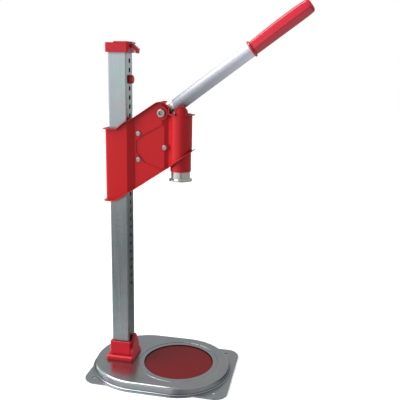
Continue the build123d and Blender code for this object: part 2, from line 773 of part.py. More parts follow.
with BuildPart() as crown_magnet:
    with BuildSketch(axis_plane(bell_bottom_z + ceiling)):
        Circle(magnet_r - 0.02)
        Circle(screw_r, mode=Mode.SUBTRACT)
    extrude(amount=magnet_top - ceiling)
    with Locations(axis_plane(bell_bottom_z + ceiling)):
        Cone(3.4, screw_r, 1.9, align=(Align.CENTER, Align.CENTER, Align.MIN), mode=Mode.SUBTRACT)
finish(crown_magnet, "crown_magnet")

with BuildPart() as magnet_screw:
    with Locations(axis_plane(bell_bottom_z + ceiling)):
        Cone(3.4, screw_r, 1.9, align=(Align.CENTER, Align.CENTER, Align.MIN))
    with BuildSketch(axis_plane(bell_bottom_z + ceiling + 1.8)):
        Circle(screw_r)
    extrude(amount=socket_floor - ceiling + 4.0)
finish(magnet_screw, "magnet_screw")

# Pawl: its tooth runs on an arc about its pin, and the lever's heel pushes its tail.
tooth_mid = (slot_face_x - tube_wall / 2, slot_z(pawl_slot))
tooth_r = hypot(tooth_mid[0] - pawl_pivot[0], tooth_mid[1] - pawl_pivot[1])
tooth_thick = 3.6
tip_x = slot_face_x + 1.6 - pawl_pivot[0]
tip_turn = atan2((tooth_r ** 2 - tip_x ** 2) ** 0.5, tip_x)
root_turn = tip_turn - radians(24)
line_turn = atan2(pivot[1] - pawl_pivot[1], pivot[0] - pawl_pivot[0])
tail_r = 3.0
tail_reach = pawl_distance - heel_reach
tail_side = heel_r + tail_r + 1.1
tail_end = (tail_reach * cos(line_turn) - tail_side * sin(line_turn),
            tail_reach * sin(line_turn) + tail_side * cos(line_turn))
pawl_plane = Plane(origin=(ram_x + pawl_pivot[0], 0, pawl_pivot[1]), x_dir=(1, 0, 0), z_dir=(0, -1, 0))
with BuildPart() as pawl:
    with BuildSketch(pawl_plane):
        with BuildLine():
            CenterArc((0, 0), tooth_r + tooth_thick / 2, degrees(root_turn), degrees(tip_turn - root_turn))
            CenterArc((0, 0), tooth_r - tooth_thick / 2, degrees(root_turn), degrees(tip_turn - root_turn))
            for turn in (root_turn, tip_turn):
                Line(
                    ((tooth_r - tooth_thick / 2) * cos(turn), (tooth_r - tooth_thick / 2) * sin(turn)),
                    ((tooth_r + tooth_thick / 2) * cos(turn), (tooth_r + tooth_thick / 2) * sin(turn)),
                )
        make_face()
    extrude(amount=pawl_half_y, both=True)
    for end, end_r in (((tooth_r * cos(root_turn), tooth_r * sin(root_turn)), 2.8), (tail_end, tail_r)):
        with BuildSketch(pawl_plane):
            Circle(6.0)
            with Locations(end):
                Circle(end_r)
            make_hull()
        extrude(amount=pawl_half_y, both=True)
    with BuildSketch(pawl_plane):
        Circle(tie_r + running_gap)
    extrude(amount=pawl_half_y, both=True, mode=Mode.SUBTRACT)
finish(pawl, "pawl")
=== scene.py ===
# %% [markdown]
# # A bench capper
# The machine stands on a pressed sheet base. A square column carries a head that slides up and
# down to suit the height of the work, and a long lever pushes a small bell down on it. The solids
# come from the CAD frame, which also says which piece belongs to which moving body.

# %% Load the frame
from math import cos, pi, radians, sin

import bmesh
import bpy
from mathutils import Matrix, Vector


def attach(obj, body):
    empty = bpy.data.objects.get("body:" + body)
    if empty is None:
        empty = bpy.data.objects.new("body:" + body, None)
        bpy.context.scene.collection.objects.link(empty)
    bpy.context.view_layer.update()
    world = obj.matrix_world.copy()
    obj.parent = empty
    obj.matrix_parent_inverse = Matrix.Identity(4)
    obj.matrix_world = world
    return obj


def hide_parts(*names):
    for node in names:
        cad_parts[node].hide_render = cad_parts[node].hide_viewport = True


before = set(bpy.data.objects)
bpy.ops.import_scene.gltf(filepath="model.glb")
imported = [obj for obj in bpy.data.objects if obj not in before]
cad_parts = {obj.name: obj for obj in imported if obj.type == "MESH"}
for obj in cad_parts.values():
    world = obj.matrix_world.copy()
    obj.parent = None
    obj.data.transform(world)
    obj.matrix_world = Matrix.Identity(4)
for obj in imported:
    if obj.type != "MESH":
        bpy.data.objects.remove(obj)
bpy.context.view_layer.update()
MM = 0.001

# %% [markdown]
# ## The places that everything else is measured from
# The bell and the ram share one upright axis. The column stands 98 mm behind it, and the lever
# turns on a bolt that is 28.5 mm behind it. Lengths are written in millimetres, as on a drawing,
# and turned to metres when a mesh is made. Three directions belong to the lever: along its tube,
# over it, and across it towards the viewer.

# %% Main places
RAM_X = 27.5
RAM_TO_COLUMN = 98.0
RAM_TO_PIVOT = 28.5
COLUMN_X = RAM_X - RAM_TO_COLUMN
PIVOT_X = RAM_X - RAM_TO_PIVOT
PIVOT_Z = 433.5
LEVER_ANGLE = radians(37.0)
pivot = Vector((PIVOT_X, 0.0, PIVOT_Z))
along = Vector((cos(LEVER_ANGLE), 0.0, sin(LEVER_ANGLE)))
over = Vector((-sin(LEVER_ANGLE), 0.0, cos(LEVER_ANGLE)))
across = Vector((0.0, -1.0, 0.0))
print("column", COLUMN_X, "ram", RAM_X, "pivot", PIVOT_X, PIVOT_Z)

# %% [markdown]
# ## Camera
# The photograph looks a little down and from the lever's side. The direction is set by three
# turns, about the upright axis, down, and a small roll, and the lens by how many pixels wide
# one radian is. A Track To constraint could aim the camera too, but angles can be measured on a
# photograph and written down.

# %% Set the camera
CAMERA_TURN = radians(11.54)
CAMERA_PITCH = radians(12.96)
CAMERA_ROLL = radians(1.07)
CAMERA_AIM = Vector((59.6, 0.0, 298.1)) * MM
CAMERA_DISTANCE = 893.9 * MM
FOCAL_PIXELS = 563.5
PICTURE_PIXELS = 400
SENSOR_MM = 36.0

back = Vector((
    sin(CAMERA_TURN) * cos(CAMERA_PITCH),
    -cos(CAMERA_TURN) * cos(CAMERA_PITCH),
    sin(CAMERA_PITCH),
))
level_right = Vector((cos(CAMERA_TURN), sin(CAMERA_TURN), 0.0))
level_up = back.cross(level_right)
right = cos(CAMERA_ROLL) * level_right + sin(CAMERA_ROLL) * level_up
up = -sin(CAMERA_ROLL) * level_right + cos(CAMERA_ROLL) * level_up

camera_data = bpy.data.cameras.new("camera")
camera_data.sensor_width = SENSOR_MM
camera_data.lens = SENSOR_MM * FOCAL_PIXELS / PICTURE_PIXELS
camera = bpy.data.objects.new("camera", camera_data)
bpy.context.scene.collection.objects.link(camera)
turned = Matrix((right, up, back)).transposed().to_4x4()
camera.matrix_world = Matrix.Translation(CAMERA_AIM + back * CAMERA_DISTANCE) @ turned
bpy.context.scene.camera = camera
print("lens", round(camera_data.lens, 2), "mm, camera at", [round(c, 4) for c in camera.location])

# %% [markdown]
# ## Colours and nodes
# Colours are written as the sRGB hex values that a picture editor shows, and Blender's shaders
# work in linear light, so one function turns one into the other. Another adds a node with its
# settings and its links, which keeps each material below short enough to read.


# %% Helpers for colours and nodes
def linear(code):
    """Linear RGBA of an sRGB hex colour such as 'B5121B'."""
    values = [int(code[i:i + 2], 16) / 255 for i in (0, 2, 4)]
    return tuple(v / 12.92 if v <= 0.04045 else ((v + 0.055) / 1.055) ** 2.4 for v in values) + (1.0,)


def add_node(tree, kind, settings=None, **links):
    """Adds a node. Settings are its own choices, with a ramp's stops as (place, grey) pairs.

    Links are values or outputs, by the socket's name, or by its number after an underscore.
    """
    made = tree.nodes.new(kind)
    for name, value in (settings or {}).items():
        if name != "stops":
            setattr(made, name, value)
            continue
        points = made.color_ramp.elements
        while len(points) < len(value):
            points.new(0.5)
        for point, (place, grey) in zip(points, value):
            point.position = place
            point.color = (grey, grey, grey, 1.0)
    for name, value in links.items():
        socket = made.inputs[int(name[1:])] if name[0] == "_" else made.inputs[name.replace("_", " ")]
        if isinstance(value, bpy.types.NodeSocket):
            tree.links.new(value, socket)
        else:
            socket.default_value = value
    return made


MULTIPLY = {"data_type": "RGBA", "blend_type": "MULTIPLY"}
LIGHTEN = {"data_type": "RGBA", "blend_type": "LIGHTEN"}
DOT = {"operation": "DOT_PRODUCT"}
SCALE = {"operation": "SCALE"}
print("red", [round(c, 3) for c in linear("B5121B")])

# %% [markdown]
# ## What every finish and every piece needs
# A material starts empty and ends with its shader linked to the output. In corners and holes a
# finish may fall to a share of its tone, which is painted shade: the Ambient Occlusion node says
# how closed in a spot is. A mesh becomes a piece when it is linked to the scene.


# %% Helpers for materials and pieces
def new_material(name):
    """An empty node material."""
    material = bpy.data.materials.new(name)
    material.use_nodes = True
    material.node_tree.nodes.clear()
    return material, material.node_tree


def finish_material(tree, shader):
    """Links the finished shader to the material's output."""
    add_node(tree, "ShaderNodeOutputMaterial", Surface=shader.outputs["BSDF"])


# The occlusion value at and below which the painted shade in corners and holes is deepest.
CLOSED_IN = 0.3


def painted_corner_shade(tree, tone, reach_mm, level):
    """A colour darkened to a share of itself where the surface lies in a corner or a hole: painted shade."""
    shade = add_node(tree, "ShaderNodeAmbientOcclusion", {"samples": 8}, Distance=reach_mm * MM)
    share = add_node(tree, "ShaderNodeMapRange", Value=shade.outputs["AO"], From_Min=CLOSED_IN, To_Min=level)
    return add_node(tree, "ShaderNodeMix", MULTIPLY, _0=1.0, _6=tone, _7=share.outputs["Result"]).outputs[2]


def new_piece(name, mesh):
    """An object at the origin that shows a mesh."""
    piece = bpy.data.objects.new(name, mesh)
    bpy.context.scene.collection.objects.link(piece)
    return piece


print("helpers ready")

# %% [markdown]
# ## Floor
# The floor is pale and matt, and it only carries the shadow, so one large square is enough. It is
# kept out of the machine's reflections and of its bounced light, where the sky takes its place.

# %% Lay the floor
FLOOR_HALF = 6.0
FLOOR_DROP = 0.0004
floor_mesh = bpy.data.meshes.new("floor")
floor_corners = [(x * FLOOR_HALF, y * FLOOR_HALF, -FLOOR_DROP) for x, y in ((-1, -1), (1, -1), (1, 1), (-1, 1))]
floor_mesh.from_pydata(floor_corners, [], [(0, 1, 2, 3)])
floor = new_piece("floor", floor_mesh)
# Matt white paint that glows a little, so that it stays pale out to the horizon.
floor_paint, tree = new_material("floor_paint")
finish_material(tree, add_node(
    tree, "ShaderNodeBsdfPrincipled", Base_Color=linear("F6F6F6"), Roughness=0.9,
    Specular_IOR_Level=0.1, Emission_Color=(1, 1, 1, 1), Emission_Strength=0.2,
))
floor_mesh.materials.append(floor_paint)
floor.visible_glossy = False
floor.visible_diffuse = False
print("floor", 2 * FLOOR_HALF, "m wide")

# %% [markdown]
# ## Sky
# The machine is bright metal and gloss paint, so what it shows is mostly its surroundings. Glowing
# panels could stand round it, but a sky made of ramps is quicker to render and can be tuned for
# each face of the column. Its grey is a tone around the machine times a tone by height. Two round
# screens are added, one high up and one low at the left, because the rim and the wall of the base
# mirror those two places.

# %% Tones of the sky
SCREEN_SIDE = Vector((-sin(radians(55)), -cos(radians(55)), 0.0))
HIGH_SCREEN = Vector((-0.55, -0.15, 0.82)).normalized()
HIGH_SCREEN_LEVEL = 6.5
LOW_SCREEN = Vector((-0.92, 0.2, -0.33)).normalized()
LOW_SCREEN_LEVEL = 1.3
# From the far side of the machine (0) round to the screen's side (1).
AROUND = [
    (0.0, 0.46), (0.15, 0.48), (0.45, 0.5), (0.6, 0.34), (0.74, 0.3), (0.81, 0.92), (0.87, 0.84),
    (0.94, 0.9), (1.0, 1.2),
]
# From straight down (0) by the horizon (0.5) to straight up (1).
UPRIGHT = [
    (0.0, 1.5), (0.2, 1.7), (0.24, 1.2), (0.262, 0.35), (0.34, 0.05), (0.39, 0.2), (0.405, 0.75),
    (0.44, 0.75), (0.455, 0.6), (0.5, 1.2), (0.58, 1.1), (0.7, 0.6), (1.0, 0.4),
]
OVERHEAD = [(0.52, 0.08), (0.68, 0.36), (0.8, 0.42), (1.0, 0.4)]
print("sky brightest towards", [round(c, 2) for c in SCREEN_SIDE])

# %% [markdown]
# ## Tone by side and by height
# The direction of a ray is the sky's own Generated coordinate. Its height and its dot product
# with the screen's direction run from -1 to 1, and are brought to 0 to 1 for the ramps. The two
# tones are multiplied, and the tone overhead takes over where it is the lighter one.

# %% Shade the sky
BOTH_WAYS = {"From_Min": -1.0, "From_Max": 1.0}
sky = bpy.data.worlds.new("sky")
sky.use_nodes = True
tree = sky.node_tree
tree.nodes.clear()
direction = add_node(tree, "ShaderNodeTexCoord").outputs["Generated"]
height = add_node(tree, "ShaderNodeSeparateXYZ", Vector=direction).outputs["Z"]
height = add_node(tree, "ShaderNodeMapRange", Value=height, **BOTH_WAYS).outputs["Result"]
side = add_node(tree, "ShaderNodeVectorMath", DOT, _0=direction, _1=SCREEN_SIDE).outputs["Value"]
side = add_node(tree, "ShaderNodeMapRange", Value=side, **BOTH_WAYS).outputs["Result"]
around = add_node(tree, "ShaderNodeValToRGB", {"stops": AROUND}, Fac=side).outputs["Color"]
upright = add_node(tree, "ShaderNodeValToRGB", {"stops": UPRIGHT}, Fac=height).outputs["Color"]
overhead = add_node(tree, "ShaderNodeValToRGB", {"stops": OVERHEAD}, Fac=height).outputs["Color"]
band = add_node(tree, "ShaderNodeMix", MULTIPLY, _0=1.0, _6=around, _7=upright).outputs[2]
tone = add_node(tree, "ShaderNodeMix", LIGHTEN, _0=1.0, _6=band, _7=overhead).outputs[2]
print("sky's tone of", len(tree.nodes), "nodes")

# %% [markdown]
# ## Screens, and what the camera sees
# A screen is round with a soft edge: the dot product with its middle is 1 there and falls away
# from it, and a ramp of two stops says where the edge lies. The Light Path node keeps all of this
# out of the picture itself, where the background is plain white.

# %% Hang the screens
HIGH_SCREEN_EDGE = [(0.89, 0.0), (0.97, 1.0)]
LOW_SCREEN_EDGE = [(0.88, 0.0), (0.95, 1.0)]
for middle, stops, level in (
    (HIGH_SCREEN, HIGH_SCREEN_EDGE, HIGH_SCREEN_LEVEL), (LOW_SCREEN, LOW_SCREEN_EDGE, LOW_SCREEN_LEVEL),
):
    screen = add_node(tree, "ShaderNodeVectorMath", DOT, _0=direction, _1=middle).outputs["Value"]
    screen = add_node(tree, "ShaderNodeValToRGB", {"stops": stops}, Fac=screen).outputs["Color"]
    screen = add_node(tree, "ShaderNodeVectorMath", SCALE, _0=screen, Scale=level).outputs[0]
    tone = add_node(tree, "ShaderNodeMix", LIGHTEN, _0=1.0, _6=tone, _7=screen).outputs[2]
seen = add_node(tree, "ShaderNodeLightPath").outputs["Is Camera Ray"]
lit = add_node(tree, "ShaderNodeBackground", Color=tone, Strength=1.0)
plain = add_node(tree, "ShaderNodeBackground", Color=(1, 1, 1, 1), Strength=1.0)
both = add_node(tree, "ShaderNodeMixShader", _0=seen, _1=lit.outputs[0], _2=plain.outputs[0])
add_node(tree, "ShaderNodeOutputWorld", Surface=both.outputs[0])
bpy.context.scene.world = sky
print("sky of", len(tree.nodes), "nodes")

# %% [markdown]
# ## Lamps
# A large soft lamp stands far out at the left and low, so that the sleeve round the column throws
# its soft shadow on the webs. A weak one lightens the far side. Neither shows in reflections.


# %% Set the lamps
def soft_lamp(name, place, aim, size, power):
    """A rectangular area lamp at a place, turned to an aim point, in metres, with power in watts."""
    data = bpy.data.lights.new(name, "AREA")
    data.shape = "RECTANGLE"
    data.size, data.size_y = size
    data.energy = power
    lamp = bpy.data.objects.new(name, data)
    bpy.context.scene.collection.objects.link(lamp)
    lamp.location = place
    lamp.rotation_euler = (Vector(aim) - Vector(place)).to_track_quat("-Z", "Y").to_euler()
    lamp.visible_glossy = False


MACHINE_MIDDLE = (0.0, 0.0, 0.3)
soft_lamp("key_lamp", (-1.9, -0.95, 0.66), MACHINE_MIDDLE, (0.9, 1.3), 42.0)
soft_lamp("side_lamp", (1.9, 0.7, 1.1), MACHINE_MIDDLE, (1.0, 1.0), 9.0)
bpy.context.scene.view_settings.view_transform = "Standard"

# %% [markdown]
# ## Metals
# Zinc on sheet steel is a soft mirror: it reflects the room blurred, with faint cloudy patches
# and fine lines along the way the sheet or tube was rolled. A picture of zinc could be wrapped
# round each piece, but noise at a real size needs no unwrapping and has no seams. One noise is
# the grain, which shifts the roughness and lifts the surface a little, and a wider one is the
# cloud in the tone.


# %% A metal finish
CLOUD_MM = 30
CLOUD_SHARE = 0.25
ROUGHNESS_SWING = 0.25
METAL_SHADE_REACH_MM = 5.0


def metal(name, code, roughness, streak, scale_mm, bump=0.02, metallic=1.0, corner_shade=0.25):
    """A bare or plated metal. Streak stretches its grain along x, y or z; scale is in mm."""
    material, tree = new_material(name)
    place = add_node(tree, "ShaderNodeTexCoord").outputs["Object"]
    stretch = add_node(tree, "ShaderNodeMapping", Vector=place, Scale=streak).outputs["Vector"]
    grain = add_node(tree, "ShaderNodeTexNoise", Vector=stretch, Scale=1.0 / (scale_mm * MM), Detail=4.0)
    grain = grain.outputs["Fac"]
    cloud = add_node(tree, "ShaderNodeTexNoise", Vector=place, Scale=1.0 / (CLOUD_MM * MM), Detail=2.0)
    tone = add_node(tree, "ShaderNodeMix", MULTIPLY, _0=CLOUD_SHARE, _6=linear(code), _7=cloud.outputs["Color"])
    low, high = roughness * (1 - ROUGHNESS_SWING), roughness * (1 + ROUGHNESS_SWING)
    rough = add_node(tree, "ShaderNodeMapRange", Value=grain, To_Min=low, To_Max=high)
    ripple = add_node(tree, "ShaderNodeBump", Height=grain, Strength=0.35, Distance=bump * MM)
    # The base colour is darkened in corners and holes: painted shade.
    finish_material(tree, add_node(
        tree, "ShaderNodeBsdfPrincipled", Base_Color=painted_corner_shade(tree, tone.outputs[2], METAL_SHADE_REACH_MM, corner_shade),
        Metallic=metallic, Roughness=rough.outputs["Result"], Normal=ripple.outputs["Normal"],
    ))
    return material


print("metal finish ready")

# %% [markdown]
# ## The metals of this machine
# Each real metal has its own tone, polish and grain. Drawing lines, tool marks and pores are
# finer than the picture can show, so they are drawn as coarse as half a millimetre to two
# millimetres, where they still soften the reflections.

# %% Name the metals
EVEN = (1.0, 1.0, 1.0)
UP_THE_COLUMN = (1.0, 1.0, 0.02)
# Hot-dip zinc on pressed sheet: a soft grey mirror with zinc flowers some 6 mm wide.
base_zinc = metal("galvanised_sheet", "C6CCD0", 0.24, EVEN, 6.0)
# Zinc on a rolled tube: cooler, with long fine lines up the tube.
column_zinc = metal("galvanised_column", "D0DBDD", 0.27, UP_THE_COLUMN, 2.0)
# Zinc on the lever's tube, worn by hands: pale and nearly matt.
lever_zinc = metal("galvanised_lever_tube", "ECF0FA", 0.5, EVEN, 2.0, 0.02, 0.45, 0.8)
# Electroplated zinc on bolts, rivets and pins: a clean light grey with a soft shine.
plated_steel = metal("zinc_plated_steel", "D2D3D4", 0.28, EVEN, 1.0, 0.02, 1.0, 0.4)
# Turned steel: silver, dulled by fine tool marks.
turned_steel = metal("turned_steel", "E4E2E2", 0.34, EVEN, 1.0)
# Polished steel of the lever's neck: the brightest spot of the head.
polished_steel = metal("polished_steel", "F4F2F0", 0.32, EVEN, 1.0, 0.01, 0.7, 0.9)
# Chrome plate on the bell: close to a mirror, with faint waves.
bell_chrome = metal("chrome_plate", "FAF6F6", 0.12, EVEN, 3.0, 0.005, 0.85, 0.8)
# Hardened steel of the pawl: dark grey from the heat.
hard_steel = metal("hardened_steel", "8E8C8A", 0.35, EVEN, 1.0)
# Sintered bronze of the pivot bush: warm, dull and porous.
bronze = metal("sintered_bronze", "B98B4E", 0.45, EVEN, 0.5)
print("metals made:", len(bpy.data.materials) - 1)

# %% [markdown]
# ## Painted shade along the tube
# The lever tube's colour is darkened near the pivot and brightens towards the grip: painted shade,
# darkest next to the head. The dot product of a point with the lever's direction says how far
# along it lies, and that sets the share of tone.

# %% Paint shade on the lever tube near the pivot
SHADE_FROM = 20
SHADE_TO = 165
PIVOT_SHADE_LEVEL = 0.42
tree = lever_zinc.node_tree
shader = tree.nodes["Principled BSDF"]
tone = shader.inputs["Base Color"].links[0].from_socket
spot = add_node(tree, "ShaderNodeTexCoord").outputs["Object"]
reach = add_node(tree, "ShaderNodeVectorMath", DOT, _0=spot, _1=along).outputs["Value"]
pivot_reach = pivot.dot(along) * MM
pivot_shade = add_node(
    tree, "ShaderNodeMapRange", Value=reach, To_Min=PIVOT_SHADE_LEVEL, To_Max=1.0,
    From_Min=pivot_reach + SHADE_FROM * MM, From_Max=pivot_reach + SHADE_TO * MM,
).outputs["Result"]
# The tube's tone times the painted shade, which is darkest near the pivot.
shaded_tone = add_node(tree, "ShaderNodeMix", MULTIPLY, _0=1.0, _6=tone, _7=pivot_shade)
tree.links.new(shaded_tone.outputs[2], shader.inputs["Base Color"])
print("lever tube's tone starts", round(pivot_reach, 3), "m along")

# %% [markdown]
# ## Paint and mouldings
# The head is enamelled: a hard gloss with a faint orange-peel. The cap, collar, peg, pad and
# grip are moulded in red plastic, which is a little softer in its gloss. Each is one coloured
# body under a clear shine, so one function makes them from a tone, a roughness and a peel. The
# peel is a noise that lifts the surface by a hundredth of a millimetre or two.


# %% A gloss finish
PATCH_MM = 40
PATCH_SHARE = 0.12
GLOSS_SHADE_REACH_MM = 7.0


def gloss(name, code, roughness, coat, peel_mm, peel_deep=0.02, corner_shade=0.4):
    """A coloured gloss: its own tone shifts slightly, and a fine peel breaks the highlights."""
    material, tree = new_material(name)
    place = add_node(tree, "ShaderNodeTexCoord").outputs["Object"]
    peel = add_node(tree, "ShaderNodeTexNoise", Vector=place, Scale=1.0 / (peel_mm * MM), Detail=2.0)
    patch = add_node(tree, "ShaderNodeTexNoise", Vector=place, Scale=1.0 / (PATCH_MM * MM), Detail=3.0)
    tone = add_node(tree, "ShaderNodeMix", MULTIPLY, _0=PATCH_SHARE, _6=linear(code), _7=patch.outputs["Color"])
    ripple = add_node(tree, "ShaderNodeBump", Height=peel.outputs["Fac"], Strength=0.3, Distance=peel_deep * MM)
    # The base colour is darkened in corners and holes: painted shade.
    finish_material(tree, add_node(
        tree, "ShaderNodeBsdfPrincipled", Base_Color=painted_corner_shade(tree, tone.outputs[2], GLOSS_SHADE_REACH_MM, corner_shade),
        Roughness=roughness, Specular_IOR_Level=0.35, Coat_Weight=coat, Coat_Roughness=0.08,
        Normal=ripple.outputs["Normal"],
    ))
    return material


print("gloss finish ready")

# %% [markdown]
# ## The paints and mouldings of this machine
# Orange-peel in enamel is two or three millimetres wide. Moulded pieces have slow waves of
# several millimetres, and a mould that was polished has the widest ones. The texture of nylon
# and ferrite is finer than the picture can show, so it is drawn as coarse as half a millimetre
# to a millimetre, which still breaks the highlights.

# %% Name the paints and mouldings
# Stoved enamel on the pressed head: a deep even red with orange-peel 2.5 mm wide.
enamel = gloss("red_enamel", "C0161E", 0.35, 0.15, 2.5, 0.02, 0.72)
# Moulded plastic of the cap, the collar and the peg: a cooler red with a soft shine.
cap_plastic = gloss("red_moulding", "C8182A", 0.38, 0.2, 4.0, 0.01)
# The grip comes from a polished mould: bright, with a clear shine along its edges.
grip_plastic = gloss("grip_moulding", "D01E36", 0.25, 0.7, 12.0, 0.01)
# The pad is softer and dull, a dark red.
pad_plastic = gloss("pad_moulding", "6C060E", 0.4, 0.0, 3.0)
# Nylon of the guides: black and waxy.
black_nylon = gloss("black_nylon", "151515", 0.5, 0.0, 1.0)
# Natural nylon of the ram's bushes: milky.
pale_nylon = gloss("natural_nylon", "E4DFD0", 0.45, 0.0, 1.0)
# Pressed ferrite of the magnet in the bell: a dull ceramic, nearly black.
ferrite = gloss("ferrite", "2A2928", 0.55, 0.0, 0.6)
print("materials in all:", len(bpy.data.materials))

# %% [markdown]
# ## Which finish goes where
# Every solid of the CAD model gets the finish of the real piece, also those that sit inside and
# only show in a view from behind or below.

# %% Dress the CAD nodes
DRESS = {
    base_zinc: ["base_plate"],
    column_zinc: ["column_tube"],
    lever_zinc: ["lever_tube"],
    plated_steel: ["column_plug", "base_bolts", "cap_tongue", "shell_rivets", "tie_spacers", "pawl_pin",
                   "pawl_spacers", "pivot_nut", "ram_clevis", "magnet_screw", "lever_pin", "pivot_bolt"],
    turned_steel: ["lever_arm", "ram_pin", "ram_rod"],
    bell_chrome: ["crimp_bell"],
    hard_steel: ["pawl"],
    bronze: ["lever_bush"],
    enamel: ["head_shell_front", "head_shell_back", "guide_tube"],
    cap_plastic: ["top_cap", "foot_collar", "stop_peg"],
    grip_plastic: ["lever_grip"],
    pad_plastic: ["bottle_pad"],
    black_nylon: ["column_guide_upper", "column_guide_lower"],
    pale_nylon: ["ram_bush_upper", "ram_bush_lower"],
    ferrite: ["crown_magnet"],
}
for material, nodes in DRESS.items():
    for node in nodes:
        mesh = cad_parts[node].data
        mesh.materials.clear()
        mesh.materials.append(material)
print(sum(len(nodes) for nodes in DRESS.values()), "nodes dressed")

# %% [markdown]
# ## Edges that follow a path
# Three kinds of edge are too fine for the CAD solids: the rolled lips of the pressed shells, the
# rounded rims of the column's punched slots, and the beads of the base sheet. A Bevel modifier
# could round the solids, but their meshes are loose triangles that are better left alone. Each
# edge is a thin round bar swept along a path, so one kind of Geometry Nodes tree makes them all,
# built once for each finish: it takes a path and a radius, and repeats the result upwards as
# often as it is asked to.


# %% The tree that rolls an edge
def edge_tree(name, material):
    """A tree that sweeps a round bar along the object's edges and repeats it at equal steps."""
    tree = bpy.data.node_groups.new(name, "GeometryNodeTree")
    for label, kind, way in (
        ("Path", "NodeSocketGeometry", "INPUT"), ("Radius", "NodeSocketFloat", "INPUT"),
        ("Sides", "NodeSocketInt", "INPUT"), ("Count", "NodeSocketInt", "INPUT"),
        ("Step", "NodeSocketVector", "INPUT"), ("Edge", "NodeSocketGeometry", "OUTPUT"),
    ):
        tree.interface.new_socket(label, in_out=way, socket_type=kind)
    given = add_node(tree, "NodeGroupInput").outputs
    curve = add_node(tree, "GeometryNodeMeshToCurve", Mesh=given["Path"]).outputs[0]
    ring = add_node(tree, "GeometryNodeCurvePrimitiveCircle", Resolution=given["Sides"], Radius=given["Radius"])
    bar = add_node(tree, "GeometryNodeCurveToMesh", Curve=curve, Profile_Curve=ring.outputs[0], Fill_Caps=True)
    places = add_node(tree, "GeometryNodeMeshLine", Count=given["Count"], Offset=given["Step"])
    copies = add_node(tree, "GeometryNodeInstanceOnPoints", Points=places.outputs[0], Instance=bar.outputs[0])
    real = add_node(tree, "GeometryNodeRealizeInstances", Geometry=copies.outputs[0])
    coated = add_node(tree, "GeometryNodeSetMaterial", Geometry=real.outputs[0], Material=material)
    add_node(tree, "NodeGroupOutput", Edge=coated.outputs[0])
    return tree


print("edge tree ready")

# %% [markdown]
# ## From a path to a piece
# The path is a mesh of points and edges. The modifier gets its inputs by the sockets' identifiers,
# its result is taken as a plain mesh, and the modifier is removed before the piece rides on its
# body.


# %% Roll an edge along a path
def roll_edge(name, body, tree, points, closed, radius_mm, sides=10, count=1, step_mm=(0, 0, 0)):
    """Sweeps an edge along points given in millimetres and lets it ride on a body."""
    path = bpy.data.meshes.new(name)
    last = len(points) - 1
    joins = [(i, i + 1) for i in range(last)] + ([(last, 0)] if closed else [])
    path.from_pydata([Vector(p) * MM for p in points], joins, [])
    piece = new_piece(name, path)
    modifier = piece.modifiers.new("edge", "NODES")
    modifier.node_group = tree
    wanted = {"Radius": radius_mm * MM, "Sides": sides, "Count": count, "Step": tuple(c * MM for c in step_mm)}
    for item in tree.interface.items_tree:
        if item.name in wanted:
            modifier[item.identifier] = wanted[item.name]
    view = bpy.context.evaluated_depsgraph_get()
    result = bpy.data.meshes.new_from_object(piece.evaluated_get(view))
    piece.modifiers.remove(modifier)
    piece.data = result
    for face in result.polygons:
        face.use_smooth = True
    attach(piece, body)
    print(name, len(result.polygons), "faces")


print("roller ready")

# %% [markdown]
# ## Punched edges of the slots
# A punch rounds the rim of each hole as it goes in. The rim of one slot is a rectangle with round
# corners. An Array modifier could copy it, but the tree already repeats it up the column, at the
# slots' own pitch.

# %% Round the rims of the column's slots
COLUMN_HALF = 15.0
SLOT_HALF_Y = 4.0
SLOT_HALF_Z = 3.5
SLOT_CORNER = 1.5
SLOT_PITCH = 14.0
SLOT_FIRST_Z = 147.0
SLOT_COUNT = 27
RIM_SUNK = 0.3
RIM_BAR_R = 0.28
RIM_BAR_SIDES = 6
slot_path = []
for quarter, (side_y, side_z) in enumerate(((1, 1), (-1, 1), (-1, -1), (1, -1))):
    for turn in (0, 30, 60, 90):
        a = radians(90 * quarter + turn)
        slot_path.append((
            COLUMN_X + COLUMN_HALF - RIM_SUNK,
            side_y * (SLOT_HALF_Y - SLOT_CORNER) + SLOT_CORNER * cos(a),
            SLOT_FIRST_Z + side_z * (SLOT_HALF_Z - SLOT_CORNER) + SLOT_CORNER * sin(a),
        ))
roll_edge("slot_edges", "stand", edge_tree("punched_edge", column_zinc), slot_path, True, RIM_BAR_R,
          RIM_BAR_SIDES, SLOT_COUNT, (0, 0, SLOT_PITCH))

# %% [markdown]
# ## Beads of the base sheet
# The foot of the base ends in a bead where the sheet is folded back, and the step round the pad
# has a fine raised ring. Both catch the light as thin lines, and both use the tree above.

# %% Roll the beads of the base
FOOT_R = 88.0
FOOT_SPAN = 57.0
FOOT_BEAD_Z = 2.2
FOOT_BAR_R = 1.6
FOOT_BAR_SIDES = 16
FOOT_STEPS = 48
STEP_RING_R = 67.5
STEP_RING_Z = 13.6
STEP_RING_POINTS = 120
STEP_BAR_R = 0.6
STEP_BAR_SIDES = 12
foot_path = []
for centre_x, start in ((RAM_X, -90), (RAM_X - FOOT_SPAN, 90)):
    for i in range(FOOT_STEPS + 1):
        a = radians(start + 180 * i / FOOT_STEPS)
        foot_path.append((centre_x + FOOT_R * cos(a), FOOT_R * sin(a), FOOT_BEAD_Z))
ring_turns = [radians(360 / STEP_RING_POINTS * i) for i in range(STEP_RING_POINTS)]
ring_path = [(RAM_X + STEP_RING_R * cos(a), STEP_RING_R * sin(a), STEP_RING_Z) for a in ring_turns]
sheet_tree = edge_tree("sheet_bead", base_zinc)
roll_edge("foot_bead", "stand", sheet_tree, foot_path, True, FOOT_BAR_R, FOOT_BAR_SIDES)
roll_edge("step_bead", "stand", sheet_tree, ring_path, True, STEP_BAR_R, STEP_BAR_SIDES)

# %% [markdown]
# ## The lips' plan
# The press turns the rim of each shell outwards and leaves a rounded edge, which catches the
# light as a thin line. Its path could be picked from the edges of the CAD mesh, but a few
# measured corners are shorter and say what the shape is. Seen from above, the lip runs round the
# sleeve, narrows along the webs and goes round the front. Its half width is read from that plan
# at each place along the head.

